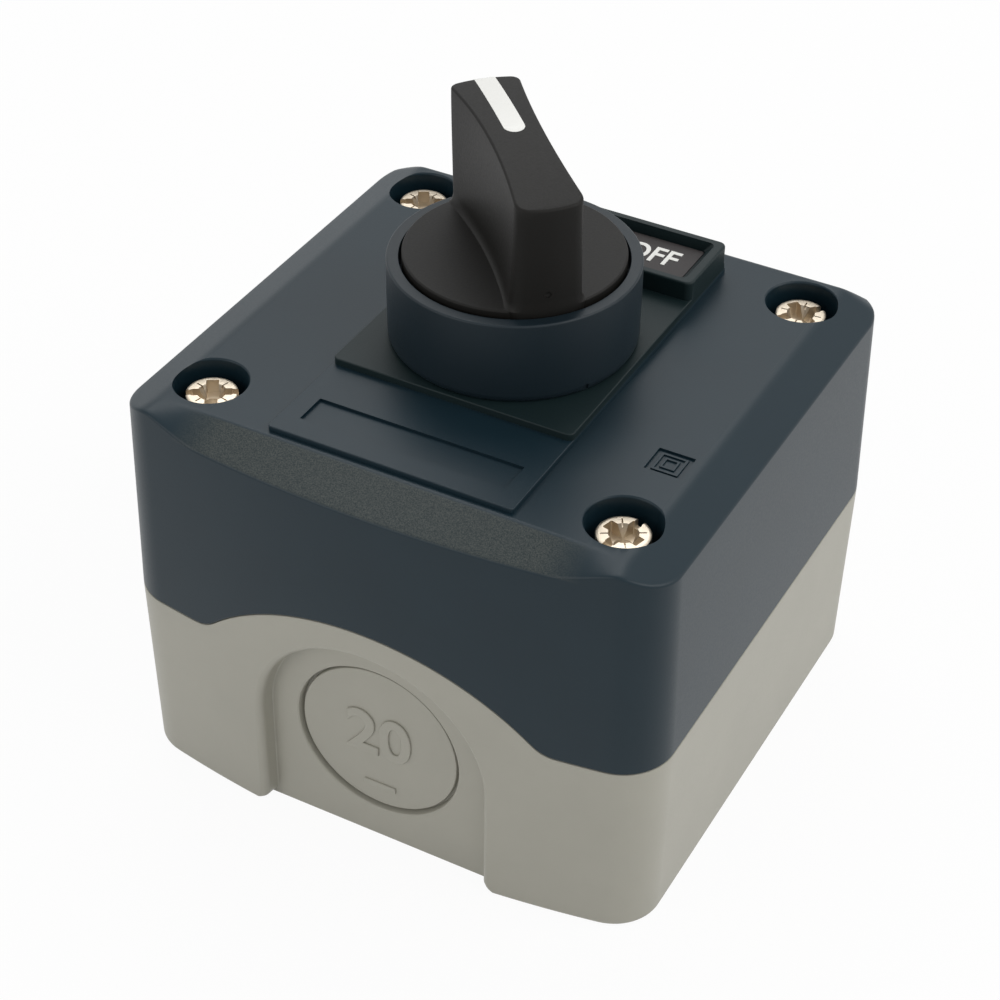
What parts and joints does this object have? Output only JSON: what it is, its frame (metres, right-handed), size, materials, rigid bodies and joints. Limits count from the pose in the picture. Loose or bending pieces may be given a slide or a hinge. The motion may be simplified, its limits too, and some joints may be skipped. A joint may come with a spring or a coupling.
{
  "type": "selector switch station",
  "caption": "Surface-mounted enclosure with a two-position selector knob, legend holder, cable knockouts and contact blocks inside.",
  "frame": {"origin": "centre of the enclosure's back face, which lies on z = 0", "axes": "+Z out of the wall along the knob's axis; +Y towards the end with the legend; +X to the right when the legend is read upright"},
  "size_m": [0.068, 0.069, 0.0782],
  "materials": {
    "grey_plastic": "fine satin moulding",
    "slate_plastic": "fine satin moulding",
    "bezel_plastic": "satin moulding",
    "legend_plastic": "satin moulding",
    "legend_card": "smooth printed strip",
    "knob_plastic": "fine matte moulding",
    "pointer_plastic": "smooth white moulding",
    "screw_steel": "bright plated",
    "zinc_steel": "zinc plated",
    "insert_brass": "turned",
    "contact_brass": "stamped",
    "sealing_rubber": "soft matte",
    "inner_plastic": "glass-filled moulding",
    "block_plastic": "plain moulding",
    "green_plastic": "plain moulding",
    "red_plastic": "plain moulding"
  },
  "bodies": {
    "enclosure_body": {"enclosure_base": "grey_plastic", "enclosure_lid": "slate_plastic", "lid_gasket": "sealing_rubber", "threaded_inserts": "insert_brass", "lid_screws": "screw_steel", "screw_seals": "sealing_rubber", "legend_holder": "legend_plastic", "legend_insert": "legend_card", "head_bezel": "bezel_plastic", "head_gasket": "sealing_rubber", "lock_washer": "zinc_steel", "fixing_nut": "inner_plastic", "contact_carrier": "inner_plastic", "carrier_screw": "zinc_steel", "no_housing": "block_plastic", "no_cover": "green_plastic", "no_return_spring": "zinc_steel", "no_fixed_contacts": "contact_brass", "no_wire_clamps": "zinc_steel", "no_terminal_screws": "zinc_steel", "nc_housing": "block_plastic", "nc_cover": "red_plastic", "nc_return_spring": "zinc_steel", "nc_fixed_contacts": "contact_brass", "nc_wire_clamps": "zinc_steel", "nc_terminal_screws": "zinc_steel"},
    "knob_body": {"knob": "knob_plastic", "pointer_inlay": "pointer_plastic", "rotor": "inner_plastic", "knob_screw": "zinc_steel", "knob_seal": "sealing_rubber", "detent_ball": "zinc_steel", "detent_spring": "zinc_steel"},
    "no_pusher_body": {"no_pusher": "green_plastic"},
    "nc_pusher_body": {"nc_pusher": "red_plastic"},
    "no_plunger_body": {"no_plunger": "green_plastic", "no_bridge": "contact_brass"},
    "nc_plunger_body": {"nc_plunger": "red_plastic", "nc_bridge": "contact_brass"}
  },
  "joints": [
    {"name": "knob_turn", "type": "hinge", "parent": "enclosure_body", "child": "knob_body", "pos_m": [0, 0, 0.06], "axis": [0, 0, 1], "range_deg": [-90, 0]},
    {"name": "no_pusher_slide", "type": "slide", "parent": "enclosure_body", "child": "no_pusher_body", "axis": [0, 0, 1], "range_m": [0, 0.0026]},
    {"name": "no_plunger_slide", "type": "slide", "parent": "enclosure_body", "child": "no_plunger_body", "axis": [0, 0, 1], "range_m": [0, 0.0026], "deforming": ["no_return_spring"]},
    {"name": "nc_pusher_slide", "type": "slide", "parent": "enclosure_body", "child": "nc_pusher_body", "axis": [0, 0, 1], "range_m": [0, 0.0026]},
    {"name": "nc_plunger_slide", "type": "slide", "parent": "enclosure_body", "child": "nc_plunger_body", "axis": [0, 0, 1], "range_m": [0, 0.0026], "deforming": ["nc_return_spring"]}
  ],
  "couplings": [
    {"joint": "no_pusher_slide", "follows": "knob_turn", "m_per_rad": -0.0016552},
    {"joint": "no_plunger_slide", "follows": "knob_turn", "m_per_rad": -0.0016552},
    {"joint": "nc_pusher_slide", "follows": "knob_turn", "m_per_rad": -0.0016552},
    {"joint": "nc_plunger_slide", "follows": "knob_turn", "m_per_rad": -0.0016552}
  ]
}
